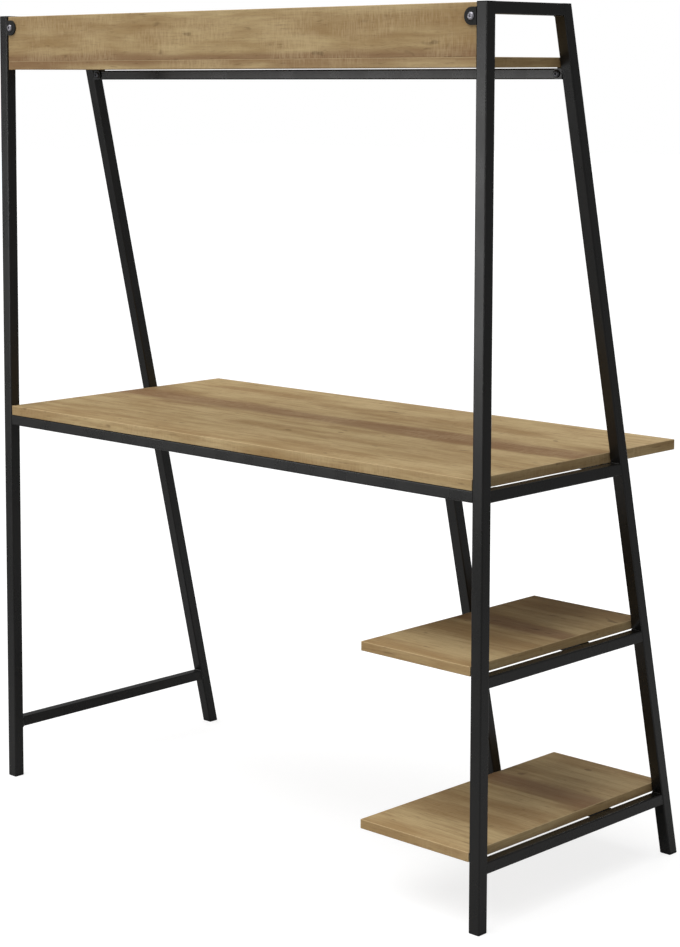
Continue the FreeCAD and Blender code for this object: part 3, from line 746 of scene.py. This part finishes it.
def new_tree(name: str, inputs: dict[str, str]) -> tuple[NodeTree, Node]:
    """Starts a Geometry Nodes tree.

    Args:
        name: The tree's name.
        inputs: Name and socket type of each input after the geometry.

    Returns:
        The tree and its input node.
    """
    tree = bpy.data.node_groups.new(name, "GeometryNodeTree")
    face = tree.interface
    face.new_socket(name="Geometry", in_out="INPUT", socket_type="NodeSocketGeometry")
    for label, kind in inputs.items():
        face.new_socket(name=label, in_out="INPUT", socket_type=kind)
    face.new_socket(name="Geometry", in_out="OUTPUT", socket_type="NodeSocketGeometry")
    return tree, add_node(tree, "NodeGroupInput")


@dataclass
class ButtonScrew:
    """An M6 button-head screw with a hexagon socket, its axis along Z, seated on Z = 0."""

    head_radius: float = 6.5 * MM
    head_height: float = 3.5 * MM
    rim: float = 0.7 * MM
    crown_radius: float = 3.6 * MM
    socket_across: float = 4.0 * MM
    socket_depth: float = 2.0 * MM
    shank_radius: float = 3.0 * MM
    shank_length: float = 12.0 * MM
    tip_share: float = 0.8
    tip_start: float = 0.95
    seat_share: float = 0.97
    seat_round: float = 0.2 * MM
    socket_flare: float = 1.08
    socket_round: float = 0.25 * MM
    socket_point: float = 0.5 * MM
    sectors: int = 48
    dome_steps: int = 6

    def circle(self, radius: float, height: float) -> list[Vector]:
        """Makes a round ring of points.

        Args:
            radius: Its radius.
            height: Its Z.

        Returns:
            The points, anticlockwise from above.
        """
        turns = (2 * math.pi * i / self.sectors for i in range(self.sectors))
        return [Vector((radius * math.cos(a), radius * math.sin(a), height)) for a in turns]

    def hexagon(self, scale: float, height: float) -> list[Vector]:
        """Makes a ring of as many points on a hexagon.

        Args:
            scale: Size against the socket.
            height: Its Z.

        Returns:
            The points, anticlockwise from above.
        """
        ring = []
        for point in self.circle(1.0, height):
            turn = math.atan2(point.y, point.x)
            off = (turn + SIXTH_TURN / 2) % SIXTH_TURN - SIXTH_TURN / 2
            radius = scale * self.socket_across / 2 / math.cos(off)
            ring.append(Vector((point.x * radius, point.y * radius, height)))
        return ring

    def dome(self) -> list[list[Vector]]:
        """Makes the rings from the head's rim up to its crown.

        Returns:
            The rings, from the outside in.
        """
        rings = []
        rise = self.head_height - self.rim
        run = self.head_radius - self.crown_radius
        for step in range(1, self.dome_steps + 1):
            turn = math.pi / 2 * step / self.dome_steps
            radius = self.crown_radius + run * math.cos(turn)
            rings.append(self.circle(radius, self.rim + rise * math.sin(turn)))
        return rings

    def mesh(self) -> Mesh:
        """Lofts the screw from the shank's end to the socket's floor.

        Returns:
            A closed mesh.
        """
        top = self.head_height
        floor = top - self.socket_depth
        rings = [
            self.circle(self.shank_radius * self.tip_share, -self.shank_length),
            self.circle(self.shank_radius, -self.shank_length * self.tip_start),
            self.circle(self.shank_radius, 0.0),
            self.circle(self.head_radius * self.seat_share, 0.0),
            self.circle(self.head_radius, self.seat_round),
            self.circle(self.head_radius, self.rim),
            *self.dome(),
            self.hexagon(self.socket_flare, top),
            self.hexagon(1.0, top - self.socket_round),
            self.hexagon(1.0, floor),
        ]
        shape = bmesh.new()
        rows = [[shape.verts.new(point) for point in ring] for ring in rings]
        count = self.sectors
        for lower, upper in zip(rows, rows[1:]):
            for i in range(count):
                j = (i + 1) % count
                shape.faces.new((lower[i], lower[j], upper[j], upper[i]))
        start = shape.verts.new((0.0, 0.0, -self.shank_length))
        end = shape.verts.new((0.0, 0.0, floor - self.socket_point))
        for i in range(count):
            j = (i + 1) % count
            shape.faces.new((start, rows[0][j], rows[0][i]))
            shape.faces.new((end, rows[-1][i], rows[-1][j]))
        bmesh.ops.recalc_face_normals(shape, faces=shape.faces)
        made = bpy.data.meshes.new("button_screw")
        shape.to_mesh(made)
        shape.free()
        return made


@dataclass
class ScrewPair:
    """The two equal screws of one CAD group, one at each side frame, heads to the back."""

    name: str
    node: str
    slot: Slot
    finish: Finish
    screw: ButtonScrew
    seed: int

    sharp_angle: ClassVar[float] = math.radians(35)

    def seats(self) -> Mesh:
        """Puts a point under each head.

        Returns:
            A mesh of two points.
        """
        low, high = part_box(self.node)
        depth = high.y - self.screw.head_height
        height = (low.z + high.z) / 2
        inset = self.screw.head_radius
        mesh = bpy.data.meshes.new(f"{self.name}_seats")
        points = [(x, depth, height) for x in (low.x + inset, high.x - inset)]
        mesh.from_pydata(points, [], [])
        return mesh

    @staticmethod
    def tree() -> NodeTree:
        """Builds the tree that sets a screw on every point.

        Returns:
            The Geometry Nodes tree.
        """
        tree, given = new_tree(
            "screws_on_seats",
            {
                "Screw": "NodeSocketObject",
                "Facing": "NodeSocketVector",
                "Seed": "NodeSocketInt",
                "Finish": "NodeSocketMaterial",
            },
        )
        screw = add_node(
            tree, "GeometryNodeObjectInfo", {"Object": given.outputs["Screw"]}
        )
        placed = add_node(
            tree,
            "GeometryNodeInstanceOnPoints",
            {
                "Points": given.outputs["Geometry"],
                "Instance": screw.outputs["Geometry"],
                "Rotation": given.outputs["Facing"],
            },
        )
        turn = add_node(
            tree,
            "FunctionNodeRandomValue",
            {0: (0.0, 0.0, 0.0), 1: (0.0, 0.0, SIXTH_TURN), "Seed": given.outputs["Seed"]},
            data_type="FLOAT_VECTOR",
        )
        turned = add_node(
            tree,
            "GeometryNodeRotateInstances",
            {"Instances": placed.outputs[0], "Rotation": turn.outputs[0], "Local Space": True},
        )
        solid = add_node(tree, "GeometryNodeRealizeInstances", {0: turned.outputs[0]})
        coated = add_node(
            tree,
            "GeometryNodeSetMaterial",
            {"Geometry": solid.outputs[0], "Material": given.outputs["Finish"]},
        )
        add_node(tree, "NodeGroupOutput", {0: coated.outputs[0]})
        return tree

    def build(self) -> Object:
        """Makes the two screws as one piece and puts it in its node's place.

        Returns:
            The piece.
        """
        pattern = new_object("screw_pattern", self.screw.mesh())
        carrier = new_object(f"{self.name}_carrier", self.seats())
        modifier = carrier.modifiers.new("screws", "NODES")
        modifier.node_group = self.tree()
        to_back = Euler((-math.pi / 2, 0.0, 0.0))
        values = {
            "Screw": pattern,
            "Facing": tuple(to_back),
            "Seed": self.seed,
            "Finish": self.finish.material(),
        }
        set_inputs(modifier, values)
        piece = settle(carrier, self.name)
        bpy.data.objects.remove(pattern)
        piece.data.shade_smooth()
        piece.data.set_sharp_from_angle(angle=self.sharp_angle)
        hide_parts(self.node)
        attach(piece, "root")
        return piece


@dataclass
class WeldBeads:
    """The weld beads that join one side frame's rails to its post and leg."""

    side: Side
    bead: float = 1.3 * MM
    ripple_pitch: float = 2.2 * MM
    ripple: float = 0.16
    inset: float = 2.5 * MM

    steps_per_ripple: ClassVar[float] = 4.0
    section_sides: ClassVar[int] = 8

    @property
    def lean(self) -> float:
        """Slope of the leg, from the front ends of its lowest and highest rails."""
        lowest, highest = (
            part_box(f"{self.side.prefix}_{rail}")[0] for rail in ("low_rail", "top_rail")
        )
        return (highest.y - lowest.y) / (highest.z - lowest.z)

    def rails(self) -> list[str]:
        """Names of the rails between this side's post and leg."""
        names = ["top_rail", "desk_rail", "low_rail"]
        if self.side is Side.SHELF:
            names.append("mid_rail")
        return [f"{self.side.prefix}_{name}" for name in names]

    def joint(self, rail: str, at_leg: bool) -> list[Vector]:
        """Traces the bead round one end of a rail.

        The bead runs over the top, down the inner face and back below. On a top rail it
        starts on the inner face, a little under the top.

        Args:
            rail: The rail's node.
            at_leg: True at the leaning leg, False at the post.

        Returns:
            The traced line's points.
        """
        low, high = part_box(rail)
        inner, outer = (low.x, high.x) if self.side is Side.OPEN else (high.x, low.x)
        outer -= self.side.value * self.inset

        def end(height: float) -> float:
            """Y of the rail's end at a height."""
            return low.y + self.lean * (height - low.z) if at_leg else high.y

        line = [
            Vector((outer, end(high.z), high.z)),
            Vector((inner, end(high.z), high.z)),
            Vector((inner, end(low.z), low.z)),
            Vector((outer, end(low.z), low.z)),
        ]
        if rail.endswith("top_rail"):
            line = line[1:]
            line[0].z -= 2 * self.bead
        return line

    def paths(self) -> Mesh:
        """Traces every bead as a line of edges.

        Returns:
            A mesh of edges.
        """
        points: list[Vector] = []
        edges: list[tuple[int, int]] = []
        for rail in self.rails():
            for at_leg in (False, True):
                line = self.joint(rail, at_leg)
                first = len(points)
                points.extend(line)
                edges.extend((first + i, first + i + 1) for i in range(len(line) - 1))
        mesh = bpy.data.meshes.new("weld_paths")
        mesh.from_pydata(points, edges, [])
        return mesh

    @classmethod
    def tree(cls) -> NodeTree:
        """Builds the tree that lays a rippled bead along every line.

        Returns:
            The Geometry Nodes tree.
        """
        tree, given = new_tree(
            "rippled_bead",
            {
                "Bead Radius": "NodeSocketFloat",
                "Ripple Pitch": "NodeSocketFloat",
                "Ripple Depth": "NodeSocketFloat",
                "Finish": "NodeSocketMaterial",
            },
        )
        curve = add_node(tree, "GeometryNodeMeshToCurve", {"Mesh": given.outputs["Geometry"]})
        step = add_node(
            tree,
            "ShaderNodeMath",
            {0: given.outputs["Ripple Pitch"], 1: cls.steps_per_ripple},
            operation="DIVIDE",
        )
        fine = add_node(
            tree,
            "GeometryNodeResampleCurve",
            {"Curve": curve.outputs[0], "Length": step.outputs[0]},
            mode="LENGTH",
        )
        run = add_node(tree, "GeometryNodeSplineParameter").outputs["Length"]
        waves = add_node(
            tree, "ShaderNodeMath", {0: run, 1: given.outputs["Ripple Pitch"]}, operation="DIVIDE"
        )
        angle = add_node(
            tree, "ShaderNodeMath", {0: waves.outputs[0], 1: 2 * math.pi}, operation="MULTIPLY"
        )
        swing = add_node(tree, "ShaderNodeMath", {0: angle.outputs[0]}, operation="SINE")
        swell = add_node(
            tree,
            "ShaderNodeMath",
            {0: swing.outputs[0], 1: given.outputs["Ripple Depth"], 2: 1.0},
            operation="MULTIPLY_ADD",
        )
        section = add_node(
            tree,
            "GeometryNodeCurvePrimitiveCircle",
            {"Resolution": cls.section_sides, "Radius": given.outputs["Bead Radius"]},
        )
        swept = add_node(
            tree,
            "GeometryNodeCurveToMesh",
            {
                "Curve": fine.outputs[0],
                "Profile Curve": section.outputs[0],
                "Scale": swell.outputs[0],
                "Fill Caps": True,
            },
        )
        solid = add_node(tree, "GeometryNodeRealizeInstances", {0: swept.outputs[0]})
        coated = add_node(
            tree,
            "GeometryNodeSetMaterial",
            {"Geometry": solid.outputs[0], "Material": given.outputs["Finish"]},
        )
        add_node(tree, "NodeGroupOutput", {0: coated.outputs[0]})
        return tree

    def build(self) -> Object:
        """Makes the side frame's beads as one piece.

        Returns:
            The piece.
        """
        name = f"{self.side.prefix}_welds"
        carrier = new_object(f"{name}_carrier", self.paths())
        modifier = carrier.modifiers.new("beads", "NODES")
        modifier.node_group = self.tree()
        values = {
            "Bead Radius": self.bead,
            "Ripple Pitch": self.ripple_pitch,
            "Ripple Depth": self.ripple,
            "Finish": BLACK_STEEL.material(),
        }
        set_inputs(modifier, values)
        piece = settle(carrier, name)
        piece.data.shade_smooth()
        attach(piece, "root")
        return piece


@dataclass(frozen=True)
class Stretch:
    """One board's stretch of the print.

    The shift picks it, in features; the heart of the log lies at heart_mm, the sum of Y and
    Z, and reaches heart_half_mm to each side; sawn is how much the saw marks show.
    """

    shift: float
    heart_mm: float
    heart_half_mm: float
    sawn: float


@dataclass
class Boards:
    """The five oak-effect boards, each with its own stretch of the print."""

    stretches: ClassVar[dict[str, Stretch]] = {
        "desktop": Stretch(shift=17.2, heart_mm=735.0, heart_half_mm=48.0, sawn=0.28),
        "top_shelf": Stretch(shift=11.6, heart_mm=1724.0, heart_half_mm=40.0, sawn=0.3),
        "back_board": Stretch(shift=7.9, heart_mm=1706.0, heart_half_mm=15.0, sawn=0.36),
        "mid_shelf": Stretch(shift=2.2, heart_mm=470.0, heart_half_mm=38.0, sawn=0.12),
        "low_shelf": Stretch(shift=15.1, heart_mm=80.0, heart_half_mm=50.0, sawn=0.12),
    }
    light: str = "#c6af83"
    streak: str = "#9f8259"
    band: str = "#85644a"
    pore: str = "#5c4730"
    # Pale tone of the printed saw marks, also used for the painted highlight on the upper arrises.
    arris: str = "#d3bb92"
    roughness: float = 0.6

    def finish(self, node: str) -> OakMelamine:
        """Cuts one board's stretch of the print.

        Args:
            node: The board's node.

        Returns:
            Its finish.
        """
        low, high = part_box(node)
        stretch = self.stretches[node]
        return OakMelamine(
            f"oak_melamine_{node}",
            self.light,
            self.roughness,
            streak=self.streak,
            band=self.band,
            pore=self.pore,
            arris=self.arris,
            centre=tuple((low + high) / 2),
            half=tuple((high - low) / 2),
            shift=stretch.shift,
            heart=stretch.heart_mm * MM,
            heart_half=stretch.heart_half_mm * MM,
            sawn=stretch.sawn,
        )

    def dress(self) -> None:
        """Gives every board its finish."""
        for node in self.stretches:
            dress(frame["nodes"][node], self.finish(node))
            LOG.info("board %s", node)


@dataclass
class Hardware:
    """The steel, plastic and fasteners that keep the shape of their nodes."""

    stamped: ClassVar[frozenset[str]] = frozenset(f"{side.prefix}_board_tab" for side in Side)

    def dress(self) -> None:
        """Gives every node but the boards the finish of its slot."""
        for part in frame["record"]["subparts"]:
            slot = Slot(part["material_slot"])
            if slot is Slot.OAK_BOARD:
                continue
            finish = STAMPED_STEEL if part["node"] in self.stamped else FINISHES[slot]
            dress(frame["nodes"][part["node"]], finish)
        LOG.info("steel, plastic and fasteners dressed")


@dataclass
class SoftBox:
    """A rectangular soft box on a stand."""

    name: str
    place: tuple[float, float, float]
    aim: tuple[float, float, float]
    wide: float
    high: float
    power: float

    def build(self) -> None:
        """Stands the box in the studio, out of the camera's sight."""
        light = bpy.data.lights.new(self.name, "AREA")
        light.shape = "RECTANGLE"
        light.size = self.wide
        light.size_y = self.high
        light.energy = self.power
        lamp = bpy.data.objects.new(self.name, light)
        lamp.location = self.place
        away = Vector(self.place) - Vector(self.aim)
        lamp.rotation_mode = "QUATERNION"
        lamp.rotation_quaternion = away.to_track_quat("Z", "Y")
        lamp.visible_camera = False
        bpy.context.scene.collection.objects.link(lamp)


@dataclass
class Studio:
    """A plain white studio: floor, soft lights, even sky and the camera."""

    boxes: ClassVar[list[SoftBox]] = [
        SoftBox(
            "studio_wide_box",
            place=(2.2, 3.1, 0.97),
            aim=(1.9, 0.28, 0.97),
            wide=2.35,
            high=1.25,
            power=26.0,
        ),
        SoftBox(
            "studio_strip_box",
            place=(-0.7, 3.5, 1.3),
            aim=(-0.6, 0.28, 1.1),
            wide=0.25,
            high=1.5,
            power=12.0,
        ),
        SoftBox(
            "studio_side_box",
            place=(-3.3, 1.9, 1.3),
            aim=(-0.6, 0.0, 0.8),
            wide=1.2,
            high=1.2,
            power=6.5,
        ),
        SoftBox(
            "studio_fill_box",
            place=(0.35, -3.4, 0.85),
            aim=(0.0, 0.0, 0.85),
            wide=1.7,
            high=1.5,
            power=30.0,
        ),
    ]
    floor_half: float = 30.0
    floor_grey: str = "#9c9c9c"
    # Painted pool of light: to all but camera rays the floor is paler near the desk and darker away from
    # it.
    floor_near: str = "#a1a1a1"
    floor_far: str = "#7a7a7a"
    floor_fade: tuple[float, float] = (0.8, 3.2)
    floor_glow: float = 0.78
    sky_strength: float = 0.2
    key_energy: float = 2.95
    key_angle: float = 66.0
    key_from: tuple[float, float, float] = (0.1, 0.31, 0.95)
    focal_mm: float = 85.200
    sensor_mm: float = 36.0
    shift_x: float = 0.1096
    shift_y: float = -0.18
    yaw: float = -44.757
    pitch: float = -5.758
    roll: float = -0.107
    eye: tuple[float, float, float] = (-2.8103, 3.0205, 1.3827)
    sight_end: float = 200.0

    def build_world(self) -> None:
        """Makes an even sky, white to the camera and soft to the desk.

        The satin coat would mirror a white sky and turn grey, so it meets the soft level.
        """
        world = bpy.data.worlds.new("studio_sky")
        bpy.context.scene.world = world
        world.use_nodes = True
        tree = world.node_tree
        tree.nodes.clear()
        light = add_node(
            tree,
            "ShaderNodeBackground",
            {"Color": linear("#ffffff"), "Strength": self.sky_strength},
        )
        white = add_node(
            tree, "ShaderNodeBackground", {"Color": linear("#ffffff"), "Strength": 1.0}
        )
        seen = add_node(tree, "ShaderNodeLightPath").outputs["Is Camera Ray"]
        mixed = add_node(
            tree,
            "ShaderNodeMixShader",
            {0: seen, 1: light.outputs[0], 2: white.outputs[0]},
        )
        add_node(tree, "ShaderNodeOutputWorld", {"Surface": mixed.outputs[0]})

    def build_floor(self) -> None:
        """Makes the floor, which looks white but keeps the desk's soft shadow."""
        half = self.floor_half
        mesh = bpy.data.meshes.new("studio_floor")
        corners = [(-half, -half, 0.0), (half, -half, 0.0), (half, half, 0.0), (-half, half, 0.0)]
        mesh.from_pydata(corners, [], [(0, 1, 2, 3)])
        floor = new_object("studio_floor", mesh)
        material = bpy.data.materials.new("studio_paper")
        material.use_nodes = True
        tree = material.node_tree
        tree.nodes.clear()
        seen = add_node(tree, "ShaderNodeLightPath").outputs["Is Camera Ray"]
        place = add_node(tree, "ShaderNodeTexCoord").outputs["Object"]
        away = add_node(tree, "ShaderNodeVectorMath", {0: place}, operation="LENGTH")
        near, far = self.floor_fade
        fade = add_node(
            tree,
            "ShaderNodeMapRange",
            {"Value": away.outputs["Value"], "From Min": near, "From Max": far},
            interpolation_type="SMOOTHSTEP",
        )
        # Painted pool of light, seen by all but camera rays: paler near the desk, darker farther out, so
        # the steel mirrors a lit floor close by.
        painted_bounce = add_node(
            tree,
            "ShaderNodeMix",
            {0: fade.outputs[0], 6: linear(self.floor_near), 7: linear(self.floor_far)},
            data_type="RGBA",
        )
        grey = add_node(
            tree,
            "ShaderNodeMix",
            {0: seen, 6: painted_bounce.outputs[2], 7: linear(self.floor_grey)},
            data_type="RGBA",
        )
        paper = add_node(tree, "ShaderNodeBsdfDiffuse", {"Color": grey.outputs[2]})
        strength = add_node(
            tree, "ShaderNodeMath", {0: seen, 1: self.floor_glow}, operation="MULTIPLY"
        ).outputs[0]
        glow = add_node(tree, "ShaderNodeEmission", {"Strength": strength})
        both = add_node(tree, "ShaderNodeAddShader", {0: paper.outputs[0], 1: glow.outputs[0]})
        add_node(tree, "ShaderNodeOutputMaterial", {"Surface": both.outputs[0]})
        floor.data.materials.append(material)

    def build_key(self) -> None:
        """Hangs one broad soft light above and behind the desk."""
        light = bpy.data.lights.new("studio_key", "SUN")
        light.energy = self.key_energy
        light.angle = math.radians(self.key_angle)
        lamp = bpy.data.objects.new("studio_key", light)
        lamp.rotation_mode = "QUATERNION"
        lamp.rotation_quaternion = Vector(self.key_from).to_track_quat("Z", "Y")
        bpy.context.scene.collection.objects.link(lamp)

    def build_camera(self) -> None:
        """Sets the camera behind the desk, on the side of the small shelves."""
        data = bpy.data.cameras.new("studio_camera")
        data.lens = self.focal_mm
        data.sensor_width = self.sensor_mm
        data.shift_x = self.shift_x
        data.shift_y = self.shift_y
        data.clip_end = self.sight_end
        camera = bpy.data.objects.new("studio_camera", data)
        yaw, pitch = math.radians(self.yaw), math.radians(self.pitch)
        ahead = Vector(
            (
                math.cos(yaw) * math.cos(pitch),
                math.sin(yaw) * math.cos(pitch),
                math.sin(pitch),
            )
        )
        right = Vector((math.sin(yaw), -math.cos(yaw), 0.0))
        right = Matrix.Rotation(math.radians(-self.roll), 3, ahead) @ right
        up = right.cross(ahead)
        turn = Matrix((right, up, -ahead)).transposed()
        camera.matrix_world = Matrix.Translation(self.eye) @ turn.to_4x4()
        bpy.context.scene.collection.objects.link(camera)
        bpy.context.scene.camera = camera

    def build(self) -> None:
        """Builds the whole studio."""
        bpy.context.scene.view_settings.view_transform = "Standard"
        self.build_world()
        self.build_floor()
        self.build_key()
        for box in self.boxes:
            box.build()
        self.build_camera()


def main() -> None:
    """Builds the studio, dresses the nodes and adds the new pieces."""
    logging.basicConfig(level=logging.INFO, format="%(name)s: %(message)s")
    Studio().build()
    Boards().dress()
    Hardware().dress()
    screw = ButtonScrew()
    pairs = [
        ScrewPair("board_button_screws", "board_screws", Slot.BRIGHT_SCREWS, BRIGHT_NICKEL, screw, seed=5),
        ScrewPair("rail_button_bolts", "rail_bolts", Slot.BLACK_BOLTS, BLACK_ZINC, screw, seed=9),
    ]
    for builder in [*pairs, WeldBeads(Side.SHELF), WeldBeads(Side.OPEN)]:
        piece = builder.build()
        LOG.info("piece %s: %d faces", piece.name, len(piece.data.polygons))


if __name__ == "__main__":
    main()
